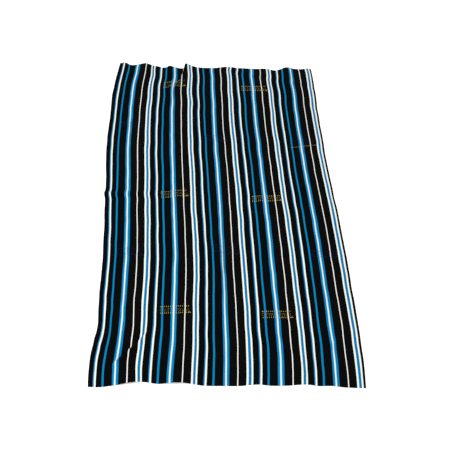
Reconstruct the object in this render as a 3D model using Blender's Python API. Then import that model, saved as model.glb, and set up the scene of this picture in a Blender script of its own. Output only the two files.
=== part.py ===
"""Strip-woven cloth: five warp-striped strips sewn edge to edge, opened out flat with creases and ripples.

Every strip is cut from one map of the whole cloth. A place on the cloth is given by how far it lies across,
from the left selvage, and how far along, from the near end. The map says where that place comes to lie on
the ground: the strips wander a little sideways, the two ends are wavy, and folds and ripples stand up and
draw the cloth in.
"""

import bmesh
import bpy
import numpy

# Sizes of the cloth, in metres
STRIP_WIDTH = 0.140
STRIP_NAMES = ("strip_1", "strip_2", "strip_3", "strip_4", "strip_5")
CLOTH_WIDTH = STRIP_WIDTH * len(STRIP_NAMES)
CLOTH_LENGTH = 1.285
CLOTH_THICKNESS = 0.002
SEAM_GAP = 0.0003
# The first strip's own selvage, at the cloth's left edge, is this much wider than a strip's black edge
LEFT_MARGIN = 0.003

# Columns of faces across each strip: more where the sharp folds are
STRIP_COLUMNS = {"strip_1": 20, "strip_2": 21, "strip_3": 12, "strip_4": 9, "strip_5": 9}

# Rows of faces along the cloth: short ones by the two uneven ends and the half crease, long ones between
ROW_BANDS = (
    {"start": 0.000, "end": 0.180, "rows": 16},
    {"start": 0.180, "end": 0.610, "rows": 12},
    {"start": 0.610, "end": 0.700, "rows": 4},
    {"start": 0.700, "end": 1.120, "rows": 12},
    {"start": 1.120, "end": CLOTH_LENGTH, "rows": 14},
)

# How far the cloth has wandered to the right, in metres, at places along it
SWAY_COLUMNS = ("along", "left", "middle", "right")
SWAYS = (
    (0.000, -0.0060, -0.0090, -0.0050),
    (0.070, -0.0065, -0.0050, 0.0000),
    (0.120, -0.0010, -0.0030, 0.0020),
    (0.160, 0.0045, -0.0025, 0.0040),
    (0.280, 0.0055, 0.0000, 0.0060),
    (0.420, 0.0042, 0.0025, 0.0100),
    (0.560, 0.0037, 0.0010, 0.0055),
    (0.610, 0.0026, 0.0006, 0.0041),
    (0.632, 0.0022, 0.0003, 0.0034),
    (0.655, -0.0010, 0.0000, 0.0028),
    (0.678, 0.0010, -0.0003, 0.0022),
    (0.700, 0.0005, -0.0005, 0.0015),
    (0.880, -0.0045, -0.0030, -0.0005),
    (1.040, 0.0000, -0.0035, 0.0015),
    (1.110, 0.0005, 0.0000, 0.0065),
    (1.135, 0.0000, 0.0000, 0.0073),
    (1.160, 0.0020, 0.0000, 0.0080),
    (1.230, 0.0105, 0.0025, 0.0050),
    (CLOTH_LENGTH, 0.0125, 0.0020, 0.0020),
)

# How far each end stands out beyond a straight cut, in metres towards +Y, at places across it
END_COLUMNS = ("across", "shift")
NEAR_END = (
    (0.000, -0.006),
    (0.020, -0.0075),
    (0.055, -0.0035),
    (0.090, 0.001),
    (0.142, 0.006),
    (0.170, 0.001),
    (0.200, 0.001),
    (0.250, 0.0015),
    (0.290, -0.0045),
    (0.330, -0.0055),
    (0.380, -0.006),
    (0.430, -0.002),
    (0.460, -0.0055),
    (0.500, -0.0055),
    (0.555, -0.003),
    (0.580, -0.007),
    (0.610, -0.007),
    (0.650, -0.012),
    (CLOTH_WIDTH, -0.014),
)
FAR_END = (
    (0.000, 0.013),
    (0.020, 0.010),
    (0.045, 0.003),
    (0.075, 0.009),
    (0.105, -0.002),
    (0.140, -0.001),
    (0.160, -0.008),
    (0.190, 0.000),
    (0.236, -0.008),
    (0.252, 0.003),
    (0.300, -0.004),
    (0.430, -0.001),
    (0.500, -0.003),
    (0.540, -0.003),
    (0.565, -0.010),
    (0.600, 0.002),
    (0.660, 0.001),
    (CLOTH_WIDTH, -0.001),
)
END_REACH = 0.150

# Folds, ripples and creases, in metres. A crest runs from start to end, both (across, along), and bows to
# its right by bow in its middle. It slopes down over the widths left and right, and the last three columns
# are its height at its start, middle and end.
FOLD_COLUMNS = ("name", "start", "end", "bow", "left", "right", "at_start", "at_middle", "at_end")
FOLDS = (
    ("far left curl", (0.030, 1.200), (0.010, 1.300), 0.003, 0.014, 0.020, 0.0000, 0.0035, 0.0062),
    ("far left arch", (0.068, 1.090), (0.100, 1.300), 0.006, 0.032, 0.036, 0.0000, 0.0060, 0.0115),
    ("far small ripple", (0.190, 1.220), (0.184, 1.300), 0.000, 0.014, 0.014, 0.0000, 0.0025, 0.0045),
    ("far pucker foot", (0.186, 1.040), (0.204, 1.220), 0.000, 0.012, 0.014, 0.0000, 0.0075, 0.0030),
    ("far pucker", (0.206, 1.130), (0.254, 1.300), 0.003, 0.014, 0.024, 0.0010, 0.0085, 0.0108),
    ("far middle lift", (0.408, 1.140), (0.395, 1.300), 0.006, 0.040, 0.040, 0.0000, 0.0030, 0.0055),
    ("far right ripple", (0.606, 1.080), (0.615, 1.300), -0.005, 0.026, 0.030, 0.0000, 0.0030, 0.0055),
    ("far right corner", (0.676, 1.170), (0.690, 1.300), 0.000, 0.028, 0.028, 0.0000, 0.0025, 0.0055),
    ("far left edge wave", (0.002, 0.990), (0.006, 1.110), 0.002, 0.020, 0.022, 0.0000, 0.0035, 0.0000),
    ("third strip far ripple", (0.336, 0.840), (0.352, 1.120), -0.006, 0.034, 0.030, 0.0000, 0.0040, 0.0010),
    ("third strip ripple", (0.344, 0.110), (0.338, 0.700), -0.011, 0.026, 0.024, 0.0000, 0.0115, 0.0000),
    ("first strip ripple", (0.052, 0.230), (0.058, 0.620), 0.014, 0.030, 0.026, 0.0000, 0.0045, 0.0000),
    ("second strip ripple", (0.228, 0.300), (0.222, 0.860), -0.010, 0.028, 0.034, 0.0000, 0.0040, 0.0000),
    ("fourth strip ripple", (0.480, 0.470), (0.466, 1.010), -0.014, 0.036, 0.030, 0.0000, 0.0045, 0.0000),
    ("fifth strip ripple", (0.614, 0.130), (0.612, 0.680), -0.016, 0.032, 0.028, 0.0000, 0.0050, 0.0000),
    ("left selvage wave", (0.004, 0.780), (0.000, 0.910), -0.003, 0.016, 0.024, 0.0000, 0.0040, 0.0000),
    ("right selvage wave", (0.700, 0.480), (0.696, 0.640), -0.002, 0.024, 0.016, 0.0000, 0.0040, 0.0000),
    ("right selvage far wave", (0.698, 0.800), (0.700, 0.980), -0.003, 0.024, 0.016, 0.0000, 0.0035, 0.0000),
    ("half crease", (-0.010, 0.657), (0.110, 0.655), 0.000, 0.012, 0.012, 0.0035, 0.0030, 0.0018),
    ("half crease, faint end", (0.150, 0.654), (0.480, 0.648), 0.000, 0.014, 0.014, 0.0015, 0.0015, 0.0010),
    ("quarter crease", (-0.010, 0.968), (0.150, 0.973), 0.000, 0.014, 0.014, 0.0035, 0.0025, 0.0015),
    ("near left diagonal", (0.036, 0.032), (0.132, 0.140), 0.002, 0.010, 0.016, 0.0010, 0.0068, 0.0040),
    ("near left corner", (-0.010, 0.145), (0.070, 0.070), 0.000, 0.015, 0.015, 0.0050, 0.0040, 0.0010),
    ("near right diagonal", (0.450, 0.170), (0.545, 0.030), -0.004, 0.016, 0.018, 0.0010, 0.0045, 0.0030),
    ("near right crease", (0.600, 0.085), (0.636, 0.142), 0.000, 0.012, 0.014, 0.0010, 0.0035, 0.0010),
    ("near arch of strip 1", (0.105, 0.090), (0.105, -0.010), 0.000, 0.045, 0.045, 0.0010, 0.0035, 0.0060),
    ("near arch of strip 2", (0.215, 0.120), (0.220, -0.010), 0.000, 0.045, 0.045, 0.0010, 0.0035, 0.0060),
)
# The crests that lean over, and how far to the left, as a share of their height
FOLD_LEANS = {"far pucker": 0.32, "far left arch": -0.25, "near left diagonal": 0.3}
# A crest fades out beyond its ends over this many times its mean slope width
FOLD_FADE = 2.2
# Where two folds cross, this share of the lower one stands on the higher one
FOLD_OVERLAY = 0.5
# A crest of height h with a slope of width w takes in this share of h * h / w of the cloth on that side
FOLD_DRAW_IN = 1.22
# Half the stretch of cloth that its slope is measured over
SLOPE_REACH = 0.002

# Look of the plain warp between the stripes
WARP_COLOUR = (0.012, 0.012, 0.013, 1.0)
WARP_ROUGHNESS = 0.85


def table_column(rows, columns, name):
    """Return one named column of a table as an array."""
    return numpy.array([row[columns.index(name)] for row in rows])


def smooth_curve(places, values, place):
    """Return the value at a place, on a cubic curve through the values, sloped by their neighbours."""
    slopes = numpy.gradient(values, places)
    before = numpy.clip(numpy.searchsorted(places, place) - 1, 0, len(places) - 2)
    after = before + 1
    span = places[after] - places[before]
    t = numpy.clip((place - places[before]) / span, 0.0, 1.0)
    from_values = values[before] * (1 + 2 * t) * (1 - t) ** 2 + values[after] * t**2 * (3 - 2 * t)
    from_slopes = slopes[before] * t * (1 - t) ** 2 - slopes[after] * t**2 * (1 - t)
    return from_values + span * from_slopes


def soft_fall(distance):
    """Fall smoothly from 1 at distance 0 to 0 at distance 1 and beyond."""
    return (1 - numpy.clip(numpy.abs(distance), 0.0, 1.0) ** 2) ** 2


def soft_step(distance):
    """Rise smoothly from -0.5 at distance -1 to 0.5 at distance 1: the running sum of soft_fall."""
    q = numpy.clip(distance, -1.0, 1.0)
    return q * (15 - 10 * q**2 + 3 * q**4) / 16


def soft_rise(share):
    """Rise smoothly from 0 at share 0 to 1 at share 1."""
    t = numpy.clip(share, 0.0, 1.0)
    return t**2 * (3 - 2 * t)


def fold_relief(fold, across, along):
    """Return one fold's height at each place, and how far it moves the cloth, across and along."""
    start = numpy.array(fold["start"])
    run = numpy.array(fold["end"]) - start
    length = numpy.hypot(*run)
    forward = run / length
    sideways = numpy.array((forward[1], -forward[0]))
    from_start = (across - start[0]) * forward[0] + (along - start[1]) * forward[1]
    from_line = (across - start[0]) * sideways[0] + (along - start[1]) * sideways[1]
    share = numpy.clip(from_start / length, 0.0, 1.0)
    from_crest = from_line - fold["bow"] * 4 * share * (1 - share)
    beyond = numpy.maximum(numpy.maximum(-from_start, from_start - length), 0.0)
    fade = FOLD_FADE * (fold["left"] + fold["right"]) / 2
    first_half = (fold["at_middle"] - fold["at_start"]) * soft_rise(2 * share)
    second_half = (fold["at_end"] - fold["at_middle"]) * soft_rise(2 * share - 1)
    crest = (fold["at_start"] + first_half + second_half) * soft_fall(beyond / fade)
    slope_width = numpy.where(from_crest < 0, fold["left"], fold["right"])
    drawn_in = -FOLD_DRAW_IN * crest**2 / slope_width * soft_step(from_crest / slope_width)
    height = crest * soft_fall(from_crest / slope_width)
    moved = drawn_in - FOLD_LEANS.get(fold["name"], 0.0) * height
    return height, moved * sideways[0], moved * sideways[1]


def sway_right(across, along):
    """Return how far the cloth has wandered to the right: a parabola across it, through three columns."""
    places = table_column(SWAYS, SWAY_COLUMNS, "along")
    left = smooth_curve(places, table_column(SWAYS, SWAY_COLUMNS, "left"), along)
    middle = smooth_curve(places, table_column(SWAYS, SWAY_COLUMNS, "middle"), along)
    right = smooth_curve(places, table_column(SWAYS, SWAY_COLUMNS, "right"), along)
    q = across / CLOTH_WIDTH
    return left * (1 - q) * (1 - 2 * q) + middle * 4 * q * (1 - q) + right * q * (2 * q - 1)


def end_shift(end_rows, across):
    """Return how far one end of the cloth stands out at places across it."""
    places = table_column(end_rows, END_COLUMNS, "across")
    shifts = table_column(end_rows, END_COLUMNS, "shift")
    return smooth_curve(places, shifts, across)


def cloth_place(across, along):
    """Return where places on the cloth's underside come to lie, measured from the cloth's middle."""
    x = across + sway_right(across, along)
    near = end_shift(NEAR_END, across) * soft_fall(along / END_REACH)
    far = end_shift(FAR_END, across) * soft_fall((CLOTH_LENGTH - along) / END_REACH)
    y = along + near + far
    z = numpy.zeros_like(x)
    for row in FOLDS:
        height, shift_x, shift_y = fold_relief(dict(zip(FOLD_COLUMNS, row)), across, along)
        z = numpy.maximum(z, height) + FOLD_OVERLAY * numpy.minimum(z, height)
        x = x + shift_x
        y = y + shift_y
    return numpy.stack((x - CLOTH_WIDTH / 2, y - CLOTH_LENGTH / 2, z), axis=-1)


def cloth_facing(across, along):
    """Return the unit vectors that stand square on the lying cloth."""
    to_right = cloth_place(across + SLOPE_REACH, along) - cloth_place(across - SLOPE_REACH, along)
    to_far = cloth_place(across, along + SLOPE_REACH) - cloth_place(across, along - SLOPE_REACH)
    square = numpy.cross(to_right, to_far)
    return square / numpy.linalg.norm(square, axis=-1, keepdims=True)


def row_places():
    """Return the places along the cloth where its rows of faces meet."""
    places = [ROW_BANDS[0]["start"]]
    for band in ROW_BANDS:
        places.extend(numpy.linspace(band["start"], band["end"], band["rows"] + 1)[1:])
    return numpy.array(places)


def rim_loop(rows, columns):
    """Return the grid places round a grid's rim, anticlockwise from its first."""
    near = [(0, column) for column in range(columns)]
    right = [(row, columns - 1) for row in range(1, rows)]
    far = [(rows - 1, column) for column in range(columns - 2, -1, -1)]
    left = [(row, 0) for row in range(rows - 2, 0, -1)]
    return near + right + far + left


def strip_mesh(name, left_edge, right_edge):
    """Make one strip's closed sheet: its underside, its upper side square above that, and the rim between."""
    edges_across = numpy.linspace(left_edge, right_edge, STRIP_COLUMNS[name] + 1)
    across, along = numpy.meshgrid(edges_across, row_places())
    under_places = cloth_place(across, along)
    upper_places = under_places + CLOTH_THICKNESS * cloth_facing(across, along)
    rows, columns = across.shape
    sheet = bmesh.new()
    under = [[sheet.verts.new(place) for place in row] for row in under_places]
    upper = [[sheet.verts.new(place) for place in row] for row in upper_places]
    for row in range(rows - 1):
        for column in range(columns - 1):
            corners = ((row, column), (row, column + 1), (row + 1, column + 1), (row + 1, column))
            sheet.faces.new([upper[r][c] for r, c in corners])
            sheet.faces.new([under[r][c] for r, c in reversed(corners)])
    rim = rim_loop(rows, columns)
    for (row, column), (next_row, next_column) in zip(rim, rim[1:] + rim[:1]):
        low_side = (under[row][column], under[next_row][next_column])
        high_side = (upper[next_row][next_column], upper[row][column])
        sheet.faces.new(low_side + high_side)
    bmesh.ops.triangulate(sheet, faces=sheet.faces[:], quad_method="FIXED")
    mesh = bpy.data.meshes.new(name)
    sheet.to_mesh(mesh)
    sheet.free()
    return mesh


def warp_material(name):
    """Make one strip's material: near-black cotton warp."""
    material = bpy.data.materials.new(name + "_warp")
    material.use_nodes = True
    shader = material.node_tree.nodes["Principled BSDF"]
    shader.inputs["Base Color"].default_value = WARP_COLOUR
    shader.inputs["Roughness"].default_value = WARP_ROUGHNESS
    shader.inputs["Metallic"].default_value = 0.0
    return material


def make_strip(index, name):
    """Make one strip, half a seam gap inside its neighbours' edges."""
    first = index == 0
    last = index == len(STRIP_NAMES) - 1
    left_edge = index * STRIP_WIDTH + (-LEFT_MARGIN if first else SEAM_GAP / 2)
    right_edge = (index + 1) * STRIP_WIDTH - (0.0 if last else SEAM_GAP / 2)
    strip = bpy.data.objects.new(name, strip_mesh(name, left_edge, right_edge))
    strip.data.materials.append(warp_material(name))
    bpy.context.scene.collection.objects.link(strip)
    return strip


def main():
    for old_object in list(bpy.data.objects):
        bpy.data.objects.remove(old_object, do_unlink=True)
    for index, name in enumerate(STRIP_NAMES):
        make_strip(index, name)


main()
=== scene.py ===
import math

import bpy
import numpy as np
from mathutils import Matrix, Vector


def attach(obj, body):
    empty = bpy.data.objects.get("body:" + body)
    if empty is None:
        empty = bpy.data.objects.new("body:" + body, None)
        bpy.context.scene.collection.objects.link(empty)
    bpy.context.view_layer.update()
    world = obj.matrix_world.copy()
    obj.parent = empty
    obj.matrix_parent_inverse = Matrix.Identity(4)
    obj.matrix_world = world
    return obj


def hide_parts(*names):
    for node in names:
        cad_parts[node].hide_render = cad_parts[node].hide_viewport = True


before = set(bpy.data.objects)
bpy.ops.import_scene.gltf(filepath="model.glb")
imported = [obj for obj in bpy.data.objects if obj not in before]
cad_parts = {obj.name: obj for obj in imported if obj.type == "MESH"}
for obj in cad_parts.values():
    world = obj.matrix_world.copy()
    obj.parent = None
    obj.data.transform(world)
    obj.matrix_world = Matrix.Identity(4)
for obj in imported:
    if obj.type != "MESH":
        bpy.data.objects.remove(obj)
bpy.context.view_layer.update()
stripNames = sorted(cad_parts)
print("frame loaded, strips:", stripNames)

# The cloth, in metres. Places on it are across, from its left selvage, and along, from its near end.
cloth = {
    "stripWidth": 0.140,
    "length": 1.285,
    "thickness": 0.0011,
    "leftMargin": 0.003,    # extra width of the selvage at the cloth's left edge
    "endReach": 0.150,      # how far in from an end its waviness reaches
    "leans": {    # how far a crest leans over to the left, as a share of its height
        "far pucker": 0.32,
        "far left arch": -0.25,
        "near left diagonal": 0.3,
    },
    "foldFade": 2.2,        # a crest fades beyond its ends over this many of its mean slope widths
    "foldOverlay": 0.5,     # share of the lower of two crossing folds that stands on the higher
    "foldDrawIn": 1.22,     # a crest h high with a slope w wide takes in this share of h * h / w
    "slopeReach": 0.0005,   # half the stretch that the cloth's slope is measured over
}
cloth["width"] = cloth["stripWidth"] * len(stripNames)

# How far the cloth has wandered to the right, at places along it: along, left, middle, right
sways = np.array((
    (0.000, -0.0060, -0.0090, -0.0050),
    (0.070, -0.0065, -0.0050, 0.0000),
    (0.120, -0.0010, -0.0030, 0.0020),
    (0.160, 0.0045, -0.0025, 0.0040),
    (0.280, 0.0055, 0.0000, 0.0060),
    (0.420, 0.0042, 0.0025, 0.0100),
    (0.560, 0.0037, 0.0010, 0.0055),
    (0.610, 0.0026, 0.0006, 0.0041),
    (0.632, 0.0022, 0.0003, 0.0034),
    (0.655, -0.0010, 0.0000, 0.0028),
    (0.678, 0.0010, -0.0003, 0.0022),
    (0.700, 0.0005, -0.0005, 0.0015),
    (0.880, -0.0045, -0.0030, -0.0005),
    (1.040, 0.0000, -0.0035, 0.0015),
    (1.110, 0.0005, 0.0000, 0.0065),
    (1.135, 0.0000, 0.0000, 0.0073),
    (1.160, 0.0020, 0.0000, 0.0080),
    (1.230, 0.0105, 0.0025, 0.0050),
    (1.285, 0.0125, 0.0020, 0.0020),
))

# How far each end stands out beyond a straight cut: across, shift towards +Y
nearEnd = np.array((
    (0.000, -0.006),
    (0.020, -0.0075),
    (0.055, -0.0035),
    (0.090, 0.001),
    (0.142, 0.006),
    (0.170, 0.001),
    (0.200, 0.001),
    (0.250, 0.0015),
    (0.290, -0.0045),
    (0.330, -0.0055),
    (0.380, -0.006),
    (0.430, -0.002),
    (0.460, -0.0055),
    (0.500, -0.0055),
    (0.555, -0.003),
    (0.580, -0.007),
    (0.610, -0.007),
    (0.650, -0.012),
    (0.700, -0.014),
))
farEnd = np.array((
    (0.000, 0.013),
    (0.020, 0.010),
    (0.045, 0.003),
    (0.075, 0.009),
    (0.105, -0.002),
    (0.140, -0.001),
    (0.160, -0.008),
    (0.190, 0.000),
    (0.236, -0.008),
    (0.252, 0.003),
    (0.300, -0.004),
    (0.430, -0.001),
    (0.500, -0.003),
    (0.540, -0.003),
    (0.565, -0.010),
    (0.600, 0.002),
    (0.660, 0.001),
    (0.700, -0.001),
))

# Folds, ripples and creases. A crest runs from start to end, bows to its right by bow, slopes down over the
# widths left and right, and stands as high as the last three columns say at its start, middle and end.
foldColumns = ("name", "start", "end", "bow", "left", "right", "atStart", "atMiddle", "atEnd")
folds = (
    ("far left curl", (0.030, 1.200), (0.010, 1.300), 0.003, 0.014, 0.020, 0.0000, 0.0035, 0.0062),
    ("far left arch", (0.068, 1.090), (0.100, 1.300), 0.006, 0.032, 0.036, 0.0000, 0.0060, 0.0115),
    ("far small ripple", (0.190, 1.220), (0.184, 1.300), 0.000, 0.014, 0.014, 0.0000, 0.0025, 0.0045),
    ("far pucker foot", (0.186, 1.040), (0.204, 1.220), 0.000, 0.012, 0.014, 0.0000, 0.0075, 0.0030),
    ("far pucker", (0.206, 1.130), (0.254, 1.300), 0.003, 0.014, 0.024, 0.0010, 0.0085, 0.0108),
    ("far middle lift", (0.408, 1.140), (0.395, 1.300), 0.006, 0.040, 0.040, 0.0000, 0.0030, 0.0055),
    ("far right ripple", (0.606, 1.080), (0.615, 1.300), -0.005, 0.026, 0.030, 0.0000, 0.0030, 0.0055),
    ("far right corner", (0.676, 1.170), (0.690, 1.300), 0.000, 0.028, 0.028, 0.0000, 0.0025, 0.0055),
    ("far left edge wave", (0.002, 0.990), (0.006, 1.110), 0.002, 0.020, 0.022, 0.0000, 0.0035, 0.0000),
    ("third strip far ripple", (0.336, 0.840), (0.352, 1.120), -0.006, 0.034, 0.030, 0.0000, 0.0040, 0.0010),
    ("third strip ripple", (0.344, 0.110), (0.338, 0.700), -0.011, 0.026, 0.024, 0.0000, 0.0115, 0.0000),
    ("first strip ripple", (0.052, 0.230), (0.058, 0.620), 0.014, 0.030, 0.026, 0.0000, 0.0045, 0.0000),
    ("second strip ripple", (0.228, 0.300), (0.222, 0.860), -0.010, 0.028, 0.034, 0.0000, 0.0040, 0.0000),
    ("fourth strip ripple", (0.480, 0.470), (0.466, 1.010), -0.014, 0.036, 0.030, 0.0000, 0.0045, 0.0000),
    ("fifth strip ripple", (0.614, 0.130), (0.612, 0.680), -0.016, 0.032, 0.028, 0.0000, 0.0050, 0.0000),
    ("left selvage wave", (0.004, 0.780), (0.000, 0.910), -0.003, 0.016, 0.024, 0.0000, 0.0040, 0.0000),
    ("right selvage wave", (0.700, 0.480), (0.696, 0.640), -0.002, 0.024, 0.016, 0.0000, 0.0040, 0.0000),
    ("right selvage far wave", (0.698, 0.800), (0.700, 0.980), -0.003, 0.024, 0.016, 0.0000, 0.0035, 0.0000),
    ("half crease", (-0.010, 0.657), (0.110, 0.655), 0.000, 0.012, 0.012, 0.0035, 0.0030, 0.0018),
    ("half crease, faint end", (0.150, 0.654), (0.480, 0.648), 0.000, 0.014, 0.014, 0.0015, 0.0015, 0.0010),
    ("quarter crease", (-0.010, 0.968), (0.150, 0.973), 0.000, 0.014, 0.014, 0.0035, 0.0025, 0.0015),
    ("near left diagonal", (0.036, 0.032), (0.132, 0.140), 0.002, 0.010, 0.016, 0.0010, 0.0068, 0.0040),
    ("near left corner", (-0.010, 0.145), (0.070, 0.070), 0.000, 0.015, 0.015, 0.0050, 0.0040, 0.0010),
    ("near right diagonal", (0.450, 0.170), (0.545, 0.030), -0.004, 0.016, 0.018, 0.0010, 0.0045, 0.0030),
    ("near right crease", (0.600, 0.085), (0.636, 0.142), 0.000, 0.012, 0.014, 0.0010, 0.0035, 0.0010),
    ("near arch of strip 1", (0.105, 0.090), (0.105, -0.010), 0.000, 0.045, 0.045, 0.0010, 0.0035, 0.0060),
    ("near arch of strip 2", (0.215, 0.120), (0.220, -0.010), 0.000, 0.045, 0.045, 0.0010, 0.0035, 0.0060),
)

# Slight unevenness that the solids are too coarse for
handmade = {
    "seed": 5,
    "waves": 14,
    "stretchAlong": 2.5,      # waves are this much longer along the cloth than across it
    "wander": 0.0005,         # how far the warp strays sideways
    "wanderLengths": (0.022, 0.080),
    "ripple": 0.0009,         # height of small soft ripples
    "rippleLengths": (0.035, 0.120),
    "rippleFrom": 0.3,        # only what the waves rise above this makes a ripple
    "gather": 0.0005,         # height of the gathers beside a seam
    "gatherReach": 0.007,
    "gatherPitch": 0.016,
    "gatherSlant": 0.004,     # distance from the seam over which a gather shifts by one radian of its pitch
    "gatherUnevenness": (1.9, 0.31),    # how far the pitch strays, in radians, and how often beside it
}


def smoothCurve(table, column, place):    # cubic through the column's values, sloped by their neighbours
    places, values = table[:, 0], table[:, column]
    slopes = np.gradient(values, places)
    before = np.clip(np.searchsorted(places, place) - 1, 0, len(places) - 2)
    after = before + 1
    span = places[after] - places[before]
    t = np.clip((place - places[before]) / span, 0.0, 1.0)
    fromValues = values[before] * (1 + 2 * t) * (1 - t) ** 2 + values[after] * t**2 * (3 - 2 * t)
    fromSlopes = slopes[before] * t * (1 - t) ** 2 - slopes[after] * t**2 * (1 - t)
    return fromValues + span * fromSlopes


def softFall(distance):    # 1 at 0, 0 at 1 and beyond
    return (1 - np.clip(np.abs(distance), 0.0, 1.0) ** 2) ** 2


def softStep(distance):    # -0.5 at -1, 0.5 at 1
    q = np.clip(distance, -1.0, 1.0)
    return q * (15 - 10 * q**2 + 3 * q**4) / 16


def softRise(share):    # 0 at 0, 1 at 1
    t = np.clip(share, 0.0, 1.0)
    return t**2 * (3 - 2 * t)


def makeWaves(seed, lengths):    # slow sine waves in all directions, whose sum looks like soft noise
    draw = np.random.default_rng(seed)
    count = handmade["waves"]
    turns = draw.uniform(0.0, math.pi, count)
    lengthsDrawn = draw.uniform(*lengths, count)
    phases = draw.uniform(0.0, 2 * math.pi, count)
    return [
        (
            2 * math.pi * math.cos(turn) / long,
            2 * math.pi * math.sin(turn) / (handmade["stretchAlong"] * long),
            phase,
        )
        for turn, long, phase in zip(turns, lengthsDrawn, phases)
    ]


wanderWaves = makeWaves(handmade["seed"], handmade["wanderLengths"])
rippleWaves = makeWaves(handmade["seed"] + 1, handmade["rippleLengths"])


def waveSum(waves, across, along):
    total = np.zeros_like(across)
    for perAcross, perAlong, phase in waves:
        total += np.sin(perAcross * across + perAlong * along + phase)
    return total / math.sqrt(len(waves))


def foldRelief(fold, across, along):    # one fold's height, and how far it moves the cloth
    start = np.array(fold["start"])
    run = np.array(fold["end"]) - start
    length = np.hypot(*run)
    forward = run / length
    sideways = np.array((forward[1], -forward[0]))
    fromStart = (across - start[0]) * forward[0] + (along - start[1]) * forward[1]
    fromLine = (across - start[0]) * sideways[0] + (along - start[1]) * sideways[1]
    share = np.clip(fromStart / length, 0.0, 1.0)
    fromCrest = fromLine - fold["bow"] * 4 * share * (1 - share)
    beyond = np.maximum(np.maximum(-fromStart, fromStart - length), 0.0)
    fade = cloth["foldFade"] * (fold["left"] + fold["right"]) / 2
    firstHalf = (fold["atMiddle"] - fold["atStart"]) * softRise(2 * share)
    secondHalf = (fold["atEnd"] - fold["atMiddle"]) * softRise(2 * share - 1)
    crest = (fold["atStart"] + firstHalf + secondHalf) * softFall(beyond / fade)
    slopeWidth = np.where(fromCrest < 0, fold["left"], fold["right"])
    drawnIn = -cloth["foldDrawIn"] * crest**2 / slopeWidth * softStep(fromCrest / slopeWidth)
    height = crest * softFall(fromCrest / slopeWidth)
    moved = drawnIn - cloth["leans"].get(fold["name"], 0.0) * height
    return height, moved * sideways[0], moved * sideways[1]


def mainFolds(across, along):    # the map of the cloth that its solids are cut from too
    q = across / cloth["width"]
    left, middle, right = (smoothCurve(sways, column, along) for column in (1, 2, 3))
    x = across + left * (1 - q) * (1 - 2 * q) + middle * 4 * q * (1 - q) + right * q * (2 * q - 1)
    y = along + smoothCurve(nearEnd, 1, across) * softFall(along / cloth["endReach"])
    y = y + smoothCurve(farEnd, 1, across) * softFall((cloth["length"] - along) / cloth["endReach"])
    z = np.zeros_like(x)
    for row in folds:
        height, shiftX, shiftY = foldRelief(dict(zip(foldColumns, row)), across, along)
        z = np.maximum(z, height) + cloth["foldOverlay"] * np.minimum(z, height)
        x = x + shiftX
        y = y + shiftY
    return x - cloth["width"] / 2, y - cloth["length"] / 2, z


def seamGathers(across, along):    # height of the small gathers that the sewing draws up beside a seam
    nearest = np.clip(np.rint(across / cloth["stripWidth"]), 1, len(stripNames) - 1)
    fromSeam = across - nearest * cloth["stripWidth"]
    turns = 2 * math.pi * along / handmade["gatherPitch"] + 2.0 * nearest
    amount, often = handmade["gatherUnevenness"]
    uneven = np.sin(turns + amount * np.sin(often * turns + nearest) + fromSeam / handmade["gatherSlant"])
    share = softFall(fromSeam / handmade["gatherReach"])
    return handmade["gather"] * share * (0.5 + 0.5 * uneven)


def clothPlace(across, along):    # where the cloth's underside lies
    x, y, z = mainFolds(across, along)
    x = x + handmade["wander"] * waveSum(wanderWaves, across, along)
    swell = waveSum(rippleWaves, across, along) - handmade["rippleFrom"]
    z = z + handmade["ripple"] * np.maximum(swell, 0.0)
    z = z + seamGathers(across, along)
    return np.stack((x, y, z), axis=-1)


def clothTangents(across, along):    # unit vectors to the right, to the far end, and square on the cloth
    reach = cloth["slopeReach"]
    toRight = clothPlace(across + reach, along) - clothPlace(across - reach, along)
    toFar = clothPlace(across, along + reach) - clothPlace(across, along - reach)
    square = np.cross(toRight, toFar)
    return [v / np.linalg.norm(v, axis=-1, keepdims=True) for v in (toRight, toFar, square)]


# Camera, at the photo's viewing angle: place in metres, turns in degrees, lens in millimetres

camera = {
    "place": (-0.1765, -1.6682, 1.7739),
    "pitchDown": 48.53,
    "yawRight": 6.86,
    "roll": 5.69,
    "focalLength": 63.72,
    "sensorWidth": 36.0,
}


def makeCamera():
    pitch, yaw, roll = (math.radians(camera[key]) for key in ("pitchDown", "yawRight", "roll"))
    forward = Vector((math.sin(yaw) * math.cos(pitch), math.cos(yaw) * math.cos(pitch), -math.sin(pitch)))
    levelRight = Vector((math.cos(yaw), -math.sin(yaw), 0.0))
    levelUp = levelRight.cross(forward)
    right = math.cos(roll) * levelRight + math.sin(roll) * levelUp
    up = -math.sin(roll) * levelRight + math.cos(roll) * levelUp
    data = bpy.data.cameras.new("photoCamera")
    data.sensor_width = camera["sensorWidth"]
    data.lens = camera["focalLength"]
    eye = bpy.data.objects.new("photoCamera", data)
    turn = Matrix((right, up, -forward)).transposed().to_4x4()
    eye.matrix_world = Matrix.Translation(camera["place"]) @ turn
    bpy.context.scene.collection.objects.link(eye)
    bpy.context.scene.camera = eye


makeCamera()

# Floor and light

studio = {
    "floorSize": 14.0,
    "floorBelow": 0.0004,
    "floorColour": (0.93, 0.93, 0.93, 1.0),
    "floorRoughness": 0.9,
    "floorGlow": 0.30,
    "worldColour": (1.0, 1.0, 1.0, 1.0),
    "worldStrength": 0.72,
    "lampPlace": (-0.95, -0.6, 2.6),
    "lampAim": (0.0, -0.25, 0.0),
    "lampSize": 1.1,
    "lampPower": 48.0,
}


def setInputs(tree, node, values):    # a socket is linked, any other value is set
    for key, value in values.items():
        if isinstance(value, bpy.types.NodeSocket):
            tree.links.new(value, node.inputs[key])
        else:
            node.inputs[key].default_value = value


def addNode(tree, kind, values=None, **settings):
    node = tree.nodes.new(kind)
    for key, value in settings.items():
        setattr(node, key, value)
    setInputs(tree, node, values or {})
    return node


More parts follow.
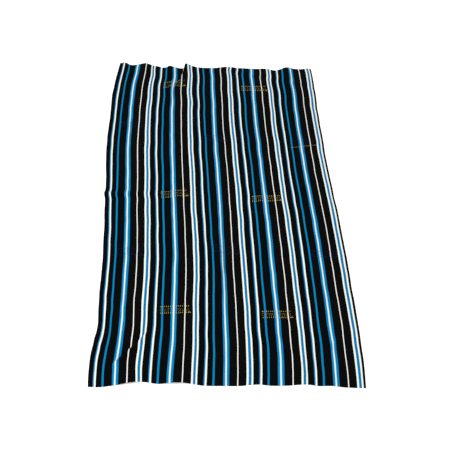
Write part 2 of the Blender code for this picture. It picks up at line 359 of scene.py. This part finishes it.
def startMaterial(name, values):    # a material, its node tree and its shader
    material = bpy.data.materials.new(name)
    material.use_nodes = True
    tree = material.node_tree
    shader = tree.nodes["Principled BSDF"]
    setInputs(tree, shader, values)
    return material, tree, shader


def makeStudio():
    half = studio["floorSize"] / 2
    mesh = bpy.data.meshes.new("studioFloor")
    corners = [(-half, -half), (half, -half), (half, half), (-half, half)]
    mesh.from_pydata([(x, y, -studio["floorBelow"]) for x, y in corners], [], [(0, 1, 2, 3)])
    floor = bpy.data.objects.new("studioFloor", mesh)
    bpy.context.scene.collection.objects.link(floor)
    paint, _, _ = startMaterial("palePaper", {
        "Base Color": studio["floorColour"],
        "Roughness": studio["floorRoughness"],
        "Specular IOR Level": 0.0,
        "Emission Color": studio["floorColour"],
        "Emission Strength": studio["floorGlow"],
    })
    mesh.materials.append(paint)
    world = bpy.data.worlds.new("softWhite")
    world.use_nodes = True
    background = world.node_tree.nodes["Background"]
    background.inputs["Color"].default_value = studio["worldColour"]
    background.inputs["Strength"].default_value = studio["worldStrength"]
    bpy.context.scene.world = world
    lampData = bpy.data.lights.new("softLamp", "AREA")
    lampData.shape = "DISK"
    lampData.size = studio["lampSize"]
    lampData.energy = studio["lampPower"]
    lamp = bpy.data.objects.new("softLamp", lampData)
    lamp.location = studio["lampPlace"]
    away = Vector(studio["lampPlace"]) - Vector(studio["lampAim"])
    lamp.rotation_euler = away.to_track_quat("Z", "Y").to_euler()
    bpy.context.scene.collection.objects.link(lamp)
    bpy.context.scene.view_settings.view_transform = "Standard"


makeStudio()
print("camera, floor and light made")

# Yarns: the woven surface, the tone of each yarn, and painted shade down between the yarns

weave = {
    "yarnWidth": 0.00045,
    "pickLength": 0.00060,
    "yarnWander": 0.00035,       # how far a yarn strays from straight
    "strayCells": (90.0, 22.0),  # noise cells to the metre, across and along, that it strays by
    "toneCells": (7.31, 30.0),   # noise cells of its tone from yarn to yarn, and to the metre along one
    "bulge": (0.3, 0.7),         # how much a yarn swells and dips over the picks, and its mean height
    "bumpHeight": 0.00022,
    "bumpStrength": 0.7,
}
fibre = {
    "contrast": 0.25,            # between light and dark fibre
    "shadeBetween": 0.35,        # painted shade: how much darker the colour is made down between the ridges
    "roughness": 0.86,
    "roughnessSpread": 0.12,
}


def startGroup(name, inputs, outputs):    # a shader group with named inputs (with defaults) and outputs
    group = bpy.data.node_groups.new(name, "ShaderNodeTree")
    for label, kind, default in inputs:
        group.interface.new_socket(label, in_out="INPUT", socket_type=kind).default_value = default
    for label, kind in outputs:
        group.interface.new_socket(label, in_out="OUTPUT", socket_type=kind)
    return group, group.nodes.new("NodeGroupInput").outputs, group.nodes.new("NodeGroupOutput")


def maths(tree, operation, *values):
    node = tree.nodes.new("ShaderNodeMath")
    node.operation = operation
    setInputs(tree, node, dict(enumerate(values)))
    return node.outputs[0]


def makeWarpWeave():    # plain weave with the warp on top: ridged yarns that bulge over every second pick
    group, given, made = startGroup(
        "warpWeave",
        (
            ("Across", "NodeSocketFloat", 0.0),
            ("Along", "NodeSocketFloat", 0.0),
            ("Yarn Width", "NodeSocketFloat", weave["yarnWidth"]),
            ("Pick Length", "NodeSocketFloat", weave["pickLength"]),
            ("Yarn Wander", "NodeSocketFloat", weave["yarnWander"]),
        ),
        (
            ("Yarn Middle", "NodeSocketFloat"),
            ("Height", "NodeSocketFloat"),
            ("Tone", "NodeSocketFloat"),
        ),
    )
    drift = addNode(group, "ShaderNodeCombineXYZ", {
        "X": maths(group, "MULTIPLY", given["Across"], weave["strayCells"][0]),
        "Y": maths(group, "MULTIPLY", given["Along"], weave["strayCells"][1]),
    })
    driftNoise = addNode(group, "ShaderNodeTexNoise", {
        "Vector": drift.outputs[0], "Scale": 1.0, "Detail": 1.0,
    }, noise_dimensions="2D")
    stray = maths(group, "SUBTRACT", driftNoise.outputs["Fac"], 0.5)
    strayed = maths(group, "MULTIPLY_ADD", stray, given["Yarn Wander"], given["Across"])
    inYarns = maths(group, "DIVIDE", strayed, given["Yarn Width"])
    number = maths(group, "FLOOR", inYarns)
    across = maths(group, "MULTIPLY", maths(group, "FRACT", inYarns), math.pi)
    ridge = maths(group, "SINE", across)
    picks = maths(group, "ADD", maths(group, "DIVIDE", given["Along"], given["Pick Length"]), number)
    overUnder = maths(group, "COSINE", maths(group, "MULTIPLY", picks, math.pi))
    bulge = maths(group, "MULTIPLY_ADD", overUnder, *weave["bulge"])
    lengthwise = addNode(group, "ShaderNodeCombineXYZ", {
        "X": maths(group, "MULTIPLY", number, weave["toneCells"][0]),
        "Y": maths(group, "MULTIPLY", given["Along"], weave["toneCells"][1]),
    })
    toneNoise = addNode(group, "ShaderNodeTexNoise", {
        "Vector": lengthwise.outputs[0], "Scale": 1.0, "Detail": 2.0,
    }, noise_dimensions="2D")
    middle = maths(group, "MULTIPLY", maths(group, "ADD", number, 0.5), given["Yarn Width"])
    setInputs(group, made, {
        "Yarn Middle": middle,
        "Height": maths(group, "MULTIPLY", ridge, bulge),
        "Tone": toneNoise.outputs["Fac"],
    })
    return group


def makeFibreToneAndPaintedShade():    # gives a colour the uneven tone of spun fibre, plus painted shade that darkens it down between the ridges, and a roughness to match
    group, given, made = startGroup(
        "fibreToneAndPaintedShade",
        (
            ("Color", "NodeSocketColor", (0.5, 0.5, 0.5, 1.0)),
            ("Tone", "NodeSocketFloat", 0.5),
            ("Relief", "NodeSocketFloat", 1.0),
            ("Contrast", "NodeSocketFloat", fibre["contrast"]),
            ("Shade Between", "NodeSocketFloat", fibre["shadeBetween"]),
        ),
        (("Color", "NodeSocketColor"), ("Roughness", "NodeSocketFloat")),
    )
    centred = maths(group, "SUBTRACT", given["Tone"], 0.5)
    lightness = maths(group, "MULTIPLY_ADD", centred, given["Contrast"], 1.0)
    # Painted shade: the colour is made darker where the relief is low, down between the ridges.
    low = maths(group, "SUBTRACT", 1.0, given["Relief"])
    shade = maths(group, "MULTIPLY", maths(group, "MULTIPLY", low, low), given["Shade Between"])
    between = maths(group, "SUBTRACT", 1.0, shade)
    tint = addNode(group, "ShaderNodeVectorMath", {
        0: given["Color"], "Scale": maths(group, "MULTIPLY", lightness, between),
    }, operation="SCALE")
    setInputs(group, made, {
        "Color": tint.outputs[0],
        "Roughness": maths(group, "MULTIPLY_ADD", centred, fibre["roughnessSpread"], fibre["roughness"]),
    })
    return group


warpWeave = makeWarpWeave()
fibreToneAndPaintedShade = makeFibreToneAndPaintedShade()

# Warp stripes of one strip, in order from its left edge: colour, and width in millimetres

stripes = {
    "black": (0.0025, 0.0025, 0.0026, 1.0),
    "sky": (0.0000, 0.240, 0.520, 1.0),
    "azure": (0.0000, 0.255, 0.590, 1.0),
    "cobalt": (0.0000, 0.230, 0.530, 1.0),
    "deep": (0.0000, 0.195, 0.485, 1.0),
    "white": (0.950, 0.950, 0.820, 1.0),
    "cream": (0.930, 0.900, 0.700, 1.0),
    "ash": (0.920, 0.910, 0.870, 1.0),
    "order": (
        ("black", 9.6),
        ("azure", 3.4),
        ("white", 4.5),
        ("black", 13.7),
        ("sky", 5.3),
        ("black", 20.8),
        ("azure", 5.4),
        ("cream", 4.5),
        ("cobalt", 5.7),
        ("black", 21.6),
        ("ash", 2.5),
        ("black", 20.4),
        ("white", 4.6),
        ("deep", 6.6),
        ("white", 4.6),
        ("black", 6.8),
    ),
    "specular": 0.02,
    "sheen": 0.004,
    "sheenRoughness": 0.6,
    "blackContrast": 1.8,     # how much more the black yarns differ in tone than the others
    "blackBelow": 0.05,       # a colour that is darker than this counts as black
}


def makeStripedCotton():
    material, tree, shader = startMaterial("stripedCotton", {
        "Specular IOR Level": stripes["specular"],
        "Sheen Weight": stripes["sheen"],
        "Sheen Roughness": stripes["sheenRoughness"],
    })
    onCloth = addNode(tree, "ShaderNodeUVMap", uv_map="clothMap")
    parts = addNode(tree, "ShaderNodeSeparateXYZ", {0: onCloth.outputs["UV"]})
    woven = addNode(tree, "ShaderNodeGroup", node_tree=warpWeave)
    setInputs(tree, woven, {
        "Across": maths(tree, "MULTIPLY", parts.outputs["X"], cloth["stripWidth"]),
        "Along": maths(tree, "MULTIPLY", parts.outputs["Y"], cloth["length"]),
    })
    ramp = addNode(tree, "ShaderNodeValToRGB", {
        "Fac": maths(tree, "DIVIDE", woven.outputs["Yarn Middle"], cloth["stripWidth"]),
    })
    ramp.color_ramp.interpolation = "CONSTANT"
    total = sum(width for _, width in stripes["order"])
    reached = 0.0
    for number, (colour, width) in enumerate(stripes["order"]):
        stop = ramp.color_ramp.elements[0] if number == 0 else ramp.color_ramp.elements.new(reached / total)
        stop.color = stripes[colour]
        reached += width
    ramp.color_ramp.elements.remove(ramp.color_ramp.elements[-1])
    brightness = addNode(tree, "ShaderNodeRGBToBW", {"Color": ramp.outputs["Color"]})
    isBlack = maths(tree, "LESS_THAN", brightness.outputs[0], stripes["blackBelow"])
    # The yarns' uneven tone, plus painted shade: the stripe colour is darkened down between the yarn ridges.
    toneAndPaintedShade = addNode(tree, "ShaderNodeGroup", node_tree=fibreToneAndPaintedShade)
    setInputs(tree, toneAndPaintedShade, {
        "Contrast": maths(tree, "MULTIPLY_ADD", isBlack, stripes["blackContrast"], fibre["contrast"]),
        "Color": ramp.outputs["Color"],
        "Tone": woven.outputs["Tone"],
        "Relief": woven.outputs["Height"],
    })
    bump = addNode(tree, "ShaderNodeBump", {
        "Height": woven.outputs["Height"],
        "Distance": weave["bumpHeight"],
        "Strength": weave["bumpStrength"],
    })
    setInputs(tree, shader, {
        "Base Color": toneAndPaintedShade.outputs["Color"],
        "Roughness": toneAndPaintedShade.outputs["Roughness"],
        "Normal": bump.outputs["Normal"],
    })
    return material


stripedCotton = makeStripedCotton()
print("weave and stripes made")

# The strips: one thin closed sheet each, with rounded selvages and ends

sheetGrid = {
    "columnWidth": 0.0020,
    "rowLength": 0.0040,
    "rimSteps": (0.0, 0.00015, 0.00045),    # places in from an edge
    "rimShares": (0.35, 0.78, 1.0),         # the thickness there, as a share of the full one
}


def gridPlaces(low, high, step):    # evenly spaced, with closer places by both edges
    inner = sheetGrid["rimSteps"][-1]
    count = max(1, round((high - low - 2 * inner) / step))
    middle = np.linspace(low + inner, high - inner, count + 1)
    rim = np.array(sheetGrid["rimSteps"][:-1])
    return np.concatenate((low + rim, middle, (high - rim)[::-1]))


def rimThickness(places):
    fromEdge = np.minimum(places - places[0], places[-1] - places)
    return np.interp(fromEdge, sheetGrid["rimSteps"], sheetGrid["rimShares"])


def rimLoop(rows, columns):    # grid numbers round the rim, anticlockwise
    grid = np.arange(rows * columns).reshape(rows, columns)
    return np.concatenate((grid[0, :-1], grid[:-1, -1], grid[-1, :0:-1], grid[:0:-1, 0]))


def makeStrip(number, name):
    low = number * cloth["stripWidth"] - (cloth["leftMargin"] if number == 0 else 0.0)
    high = (number + 1) * cloth["stripWidth"]
    acrossPlaces = gridPlaces(low, high, sheetGrid["columnWidth"])
    alongPlaces = gridPlaces(0.0, cloth["length"], sheetGrid["rowLength"])
    across, along = np.meshgrid(acrossPlaces, alongPlaces)
    under = clothPlace(across, along)
    square = clothTangents(across, along)[2]
    share = rimThickness(alongPlaces)[:, None] * rimThickness(acrossPlaces)[None, :]
    rise = cloth["thickness"] * (1 - share[..., None]) / 2
    thick = cloth["thickness"] * share[..., None]
    lower = under + rise * square
    upper = lower + thick * square
    rows, columns = across.shape
    grid = np.arange(rows * columns).reshape(rows, columns)
    quads = np.stack((grid[:-1, :-1], grid[:-1, 1:], grid[1:, 1:], grid[1:, :-1]), axis=-1).reshape(-1, 4)
    rim = rimLoop(rows, columns)
    following = np.roll(rim, -1)
    above = rows * columns
    rimQuads = np.stack((rim, following, following + above, rim + above), axis=-1)
    faces = np.concatenate((quads + above, quads[:, ::-1], rimQuads))
    mesh = bpy.data.meshes.new(name + "_cloth")
    places = np.concatenate((lower.reshape(-1, 3), upper.reshape(-1, 3)))
    mesh.from_pydata(places, [], faces)
    flatPlaces = np.stack((
        (across - number * cloth["stripWidth"]) / cloth["stripWidth"],
        along / cloth["length"],
    ), axis=-1).reshape(-1, 2)
    corners = np.empty(len(mesh.loops), dtype=np.int32)
    mesh.loops.foreach_get("vertex_index", corners)
    clothMap = mesh.uv_layers.new(name="clothMap")
    clothMap.uv.foreach_set("vector", np.tile(flatPlaces, (2, 1))[corners].astype(np.float32).ravel())
    mesh.shade_smooth()
    mesh.materials.append(stripedCotton)
    strip = bpy.data.objects.new(name + "_cloth", mesh)
    bpy.context.scene.collection.objects.link(strip)
    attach(strip, "root")
    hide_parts(name)
    print(name, "made with", len(faces), "faces")


for number, name in enumerate(stripNames):
    makeStrip(number, name)

# Threads on the cloth: one Geometry Nodes tree lays a short arched thread at each given place

threadForm = {
    "stepsAlong": 4,
    "sides": 5,
    "usual": {"Thickness": 0.0006, "Arch": 0.0003, "Unevenness": 0.1},
    "seed": 3,
}


def makeThreadTree():
    tree = bpy.data.node_groups.new("shortThreads", "GeometryNodeTree")
    face = tree.interface
    face.new_socket("Places", in_out="INPUT", socket_type="NodeSocketGeometry")
    for label, default in threadForm["usual"].items():
        face.new_socket(label, in_out="INPUT", socket_type="NodeSocketFloat").default_value = default
    face.new_socket("Seed", in_out="INPUT", socket_type="NodeSocketInt").default_value = threadForm["seed"]
    face.new_socket("Material", in_out="INPUT", socket_type="NodeSocketMaterial")
    face.new_socket("Threads", in_out="OUTPUT", socket_type="NodeSocketGeometry")
    given = tree.nodes.new("NodeGroupInput").outputs
    made = tree.nodes.new("NodeGroupOutput")
    peak = addNode(tree, "ShaderNodeCombineXYZ", {"Z": maths(tree, "MULTIPLY", given["Arch"], 2.0)})
    arch = addNode(tree, "GeometryNodeCurveQuadraticBezier", {
        "Resolution": threadForm["stepsAlong"],
        "Start": (-0.5, 0.0, 0.0),
        "Middle": peak.outputs[0],
        "End": (0.5, 0.0, 0.0),
    })
    profile = addNode(tree, "GeometryNodeCurvePrimitiveCircle", {
        "Resolution": threadForm["sides"],
        "Radius": maths(tree, "MULTIPLY", given["Thickness"], 0.5),
    })
    thread = addNode(tree, "GeometryNodeCurveToMesh", {
        "Curve": arch.outputs[0], "Profile Curve": profile.outputs[0], "Fill Caps": True,
    })
    smooth = addNode(tree, "GeometryNodeSetShadeSmooth", {"Geometry": thread.outputs[0]})
    named = {
        label: addNode(tree, "GeometryNodeInputNamedAttribute", {"Name": label}, data_type=kind).outputs[0]
        for label, kind in (
            ("heading", "FLOAT_VECTOR"), ("facing", "FLOAT_VECTOR"), ("reach", "FLOAT"), ("girth", "FLOAT"),
        )
    }
    turn = addNode(tree, "FunctionNodeAxesToRotation", {
        "Primary Axis": named["facing"], "Secondary Axis": named["heading"],
    }, primary_axis="Z", secondary_axis="X")
    least = maths(tree, "SUBTRACT", 1.0, given["Unevenness"])
    most = maths(tree, "ADD", 1.0, given["Unevenness"])
    drawn = [
        addNode(tree, "FunctionNodeRandomValue", {
            "Min": least, "Max": most, "Seed": maths(tree, "ADD", given["Seed"], extra),
        }, data_type="FLOAT").outputs["Value"]
        for extra in (0.0, 1.0)
    ]
    girth = maths(tree, "MULTIPLY", drawn[1], named["girth"])
    size = addNode(tree, "ShaderNodeCombineXYZ", {
        "X": maths(tree, "MULTIPLY", drawn[0], named["reach"]), "Y": girth, "Z": girth,
    })
    laid = addNode(tree, "GeometryNodeInstanceOnPoints", {
        "Points": given["Places"],
        "Instance": smooth.outputs[0],
        "Rotation": turn.outputs[0],
        "Scale": size.outputs[0],
    })
    real = addNode(tree, "GeometryNodeRealizeInstances", {"Geometry": laid.outputs[0]})
    coloured = addNode(tree, "GeometryNodeSetMaterial", {
        "Geometry": real.outputs[0], "Material": given["Material"],
    })
    setInputs(tree, made, {"Threads": coloured.outputs[0]})
    return tree


threadTree = makeThreadTree()


def layThreads(name, threads, material, form):    # threads: rows of across, along, length, turn and girth
    across, along, reach, turn, girth = np.array(threads).T
    toRight, toFar, square = clothTangents(across, along)
    heading = np.cos(turn)[:, None] * toRight + np.sin(turn)[:, None] * toFar
    places = clothPlace(across, along) + (cloth["thickness"] + form["lift"]) * square
    mesh = bpy.data.meshes.new(name)
    mesh.from_pydata(places, [], [])
    for label, values in (("heading", heading), ("facing", square)):
        mesh.attributes.new(label, "FLOAT_VECTOR", "POINT").data.foreach_set("vector", values.ravel())
    for label, values in (("reach", reach), ("girth", girth)):
        mesh.attributes.new(label, "FLOAT", "POINT").data.foreach_set("value", values)
    laid = bpy.data.objects.new(name, mesh)
    bpy.context.scene.collection.objects.link(laid)
    modifier = laid.modifiers.new("threads", "NODES")
    modifier.node_group = threadTree
    inputs = [item for item in threadTree.interface.items_tree if item.in_out == "INPUT"]
    sockets = {item.name: item.identifier for item in inputs}
    modifier[sockets["Thickness"]] = form["thickness"]
    modifier[sockets["Arch"]] = form["arch"]
    modifier[sockets["Unevenness"]] = form["unevenness"]
    modifier[sockets["Seed"]] = form["seed"]
    modifier[sockets["Material"]] = material
    graph = bpy.context.evaluated_depsgraph_get()
    laid.data = bpy.data.meshes.new_from_object(laid.evaluated_get(graph), depsgraph=graph)
    laid.modifiers.clear()
    laid.data.name = name
    bpy.data.meshes.remove(mesh)
    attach(laid, "root")
    print(name, "laid,", len(threads), "threads,", len(laid.data.polygons), "faces")


# What the threads are spun of

spunThread = {
    "fibreScale": 2600.0,
    "fibreDetail": 2.0,
    "twistScale": 1250.0,     # makes ridges about half a millimetre apart
    "twistUnevenness": 0.6,
    "contrast": 0.5,
    # painted shade: how much darker the thread's colour is made down between the ridges of its twist
    "shadeBetween": 0.2,
    "bumpHeight": 0.00006,
    "specular": 0.02,
}


def makeThreadMaterial(name, colour, sheen):    # spun fibre, with the slanting ridges of its twist, and painted shade that darkens its colour between them
    material, tree, shader = startMaterial(name, {
        "Specular IOR Level": spunThread["specular"],
        "Sheen Weight": sheen,
    })
    onPiece = addNode(tree, "ShaderNodeTexCoord").outputs["Object"]
    fibreNoise = addNode(tree, "ShaderNodeTexNoise", {
        "Vector": onPiece, "Scale": spunThread["fibreScale"], "Detail": spunThread["fibreDetail"],
    })
    twist = addNode(tree, "ShaderNodeTexWave", {
        "Vector": onPiece, "Scale": spunThread["twistScale"], "Distortion": spunThread["twistUnevenness"],
    }, bands_direction="DIAGONAL").outputs["Fac"]
    # The fibre's uneven tone, plus painted shade: the thread's colour is darkened between the twist ridges.
    toneAndPaintedShade = addNode(tree, "ShaderNodeGroup", node_tree=fibreToneAndPaintedShade)
    setInputs(tree, toneAndPaintedShade, {
        "Color": colour,
        "Tone": fibreNoise.outputs["Fac"],
        "Relief": twist,
        "Contrast": spunThread["contrast"],
        "Shade Between": spunThread["shadeBetween"],
    })
    bump = addNode(tree, "ShaderNodeBump", {"Height": twist, "Distance": spunThread["bumpHeight"]})
    setInputs(tree, shader, {
        "Base Color": toneAndPaintedShade.outputs["Color"],
        "Roughness": toneAndPaintedShade.outputs["Roughness"],
        "Normal": bump.outputs["Normal"],
    })
    return material


# Woven-in marks: rows of ticks, each a few floats of a thicker weft. Places are their near left corners.

marks = {
    "columns": 15,
    "rows": (    # start from the near edge, height, floats, their length in pitches, their girth
        (0.0202, 0.0036, 3, 0.25, 1.40),
        (0.0146, 0.0006, 1, 1.00, 0.35),
        (0.0052, 0.0085, 4, 0.25, 0.58),
        (0.0002, 0.0036, 3, 0.25, 1.40),
    ),
    "head": {
        "length": 0.0035,
        "across": 0.0012,
        "along": 0.0220,
        "height": 0.0016,
        "floats": 2,
        "girth": 0.8,
    },
    "tail": {
        "length": 0.0075,
        "taper": 0.8,    # the share of its length that it loses from near to far
        "along": 0.0005,
        "height": 0.0056,
        "floats": 4,
        "girth": 0.8,
    },
    "leanHeight": 0.0240,    # the height that a mark's lean is counted over
    "stray": 0.00012,
    "strayTurn": 0.02,
    "strayGirth": 0.08,
    "seed": 11,
    # Across, along, pitch of the columns, rise over the width, lean over the height, stretch of the height
    "goldPlaces": (
        (0.1667, 0.2141, 0.00540, 0.003, 0.0000, 1.08),
        (0.1670, 0.6395, 0.00530, 0.008, 0.0000, 1.16),
        (0.1689, 1.1635, 0.00523, 0.009, 0.0000, 1.35),
        (0.4452, 0.2008, 0.00537, 0.000, -0.0016, 1.00),
        (0.4440, 0.6270, 0.00595, 0.009, 0.0000, 0.98),
        (0.4453, 1.1560, 0.00570, 0.002, 0.0000, 1.12),
    ),
    "navyPlaces": (
        (0.0375, 0.9590, 0.00450, 0.001, 0.0000, 1.00),
        (0.0380, 0.4150, 0.00490, 0.000, 0.0000, 1.05),
        (0.3065, 0.8980, 0.00510, 0.000, 0.0000, 1.00),
        (0.3105, 0.4220, 0.00510, 0.000, 0.0000, 1.20),
        (0.5950, 0.8830, 0.00500, 0.000, 0.0000, 1.00),
        (0.5985, 0.4120, 0.00490, 0.000, 0.0000, 1.00),
    ),
    "dashedLine": {
        "start": (0.5905, 0.8725),
        "end": (0.6775, 0.8880),
        "dashes": 27,
        "dash": 0.0027,
        "spread": (0.7, 1.2),    # least and most length of a dash, as a share of the usual one
        "turn": (0.2, 0.1),      # the usual turn of a dash in radians, and how far it strays
    },
    "gold": (0.750, 0.570, 0.118, 1.0),
    "goldSheen": 0.15,
    "navy": (0.004, 0.017, 0.096, 1.0),
    "navySheen": 0.10,
}
floatForm = {"thickness": 0.00060, "arch": 0.00028, "lift": -0.00012, "unevenness": 0.08, "seed": 21}


def markThreads(place, draw):    # the floats of one mark
    left, near, pitch, rise, lean, stretch = place
    width = marks["columns"] * pitch
    floats = []    # from the left, from the near edge, length, girth
    for start, height, picks, reach, girth in marks["rows"]:
        for column in range(marks["columns"]):
            for pick in range(picks):
                forward = start + (pick + 0.5) * height / picks
                floats.append(((column + 0.5) * pitch, forward, reach * pitch, girth))
    head = marks["head"]
    for pick in range(head["floats"]):
        forward = head["along"] + (pick / head["floats"] - 0.5) * head["height"]
        floats.append((pitch / 2 + head["across"], forward, head["length"], head["girth"]))
    tail = marks["tail"]
    for pick in range(tail["floats"]):
        share = (pick + 0.5) / tail["floats"]
        reach = tail["length"] * (1 - tail["taper"] * share)
        forward = tail["along"] + share * tail["height"]
        floats.append((width - pitch / 2 + tail["length"] / 2, forward, reach, tail["girth"]))
    threads = [
        (
            left + right + lean * forward / marks["leanHeight"],
            near + stretch * forward + rise * right / width,
            reach,
            0.0,
            girth,
        )
        for right, forward, reach, girth in floats
    ]
    strays = [marks[key] for key in ("stray", "stray", "stray", "strayTurn", "strayGirth")]
    strayed = np.column_stack([draw.normal(0.0, size, len(threads)) for size in strays])
    return list(np.array(threads) + strayed)


def makeMarks():
    draw = np.random.default_rng(marks["seed"])
    gold = makeThreadMaterial("goldThread", marks["gold"], marks["goldSheen"])
    navy = makeThreadMaterial("navyThread", marks["navy"], marks["navySheen"])
    goldFloats = [thread for place in marks["goldPlaces"] for thread in markThreads(place, draw)]
    line = marks["dashedLine"]
    for across, along in np.linspace(line["start"], line["end"], line["dashes"]):
        reach = line["dash"] * draw.uniform(*line["spread"])
        goldFloats.append((across, along, reach, draw.normal(*line["turn"]), 1.0))
    layThreads("goldFloats", goldFloats, gold, floatForm)
    navyFloats = [thread for place in marks["navyPlaces"] for thread in markThreads(place, draw)]
    layThreads("navyFloats", navyFloats, navy, floatForm)


makeMarks()

# Sewing: whipped stitches that lean over each seam

sewing = {
    "pitch": 0.0055,
    "length": 0.0034,
    "lean": 0.62,             # radians from straight over the seam
    "strayLean": 0.14,
    "strayAcross": 0.000225,
    "strayAlong": 0.00045,
    "endMargin": 0.003,
    "colour": (0.0022, 0.0022, 0.0023, 1.0),
    "sheen": 0.0,
    "form": {"thickness": 0.00045, "arch": 0.00034, "lift": -0.00020, "unevenness": 0.14, "seed": 31},
}


def makeSewing():
    draw = np.random.default_rng(sewing["form"]["seed"])
    margin = sewing["endMargin"]
    stitches = []
    for seam in range(1, len(stripNames)):
        for along in np.arange(margin, cloth["length"] - margin, sewing["pitch"]):
            stitches.append((
                seam * cloth["stripWidth"] + draw.normal(0.0, sewing["strayAcross"]),
                along + draw.normal(0.0, sewing["strayAlong"]),
                sewing["length"],
                draw.normal(sewing["lean"], sewing["strayLean"]),
                1.0,
            ))
    cotton = makeThreadMaterial("sewingCotton", sewing["colour"], sewing["sheen"])
    layThreads("seamStitches", stitches, cotton, sewing["form"])


makeSewing()
